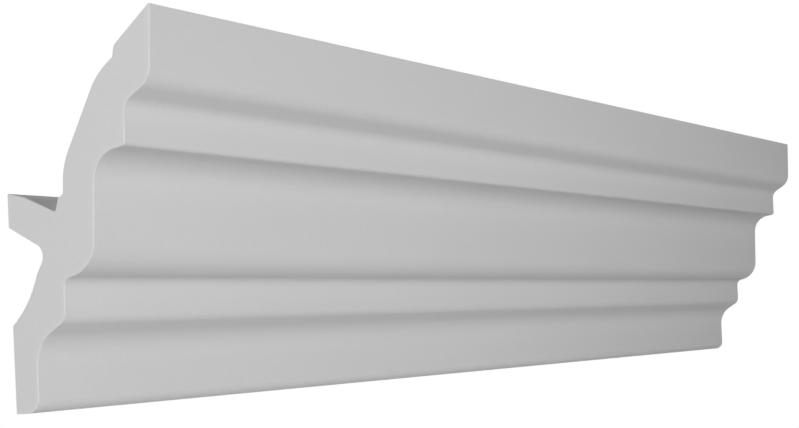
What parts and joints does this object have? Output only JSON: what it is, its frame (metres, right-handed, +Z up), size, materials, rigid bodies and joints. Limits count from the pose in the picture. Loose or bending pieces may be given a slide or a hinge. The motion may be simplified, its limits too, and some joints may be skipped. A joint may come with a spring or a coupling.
{
  "type": "crown moulding length",
  "caption": "Straight length of crown moulding with stepped fascias, coves and rounds, a hollow ribbed back and a flat wall pad, cut square at each end.",
  "frame": {"origin": "on the wall, at mid-length, at the middle height of the flat pad along the bottom of the back", "axes": "+X along the length, +Y into the wall that it is fixed to, so the moulded front faces -Y, and +Z up"},
  "size_m": [0.762, 0.0738, 0.1496],
  "materials": {
    "moulding": "matt light grey primer on moulded rigid foam"
  },
  "bodies": {
    "root": {"crown_moulding": "moulding"}
  },
  "joints": []
}
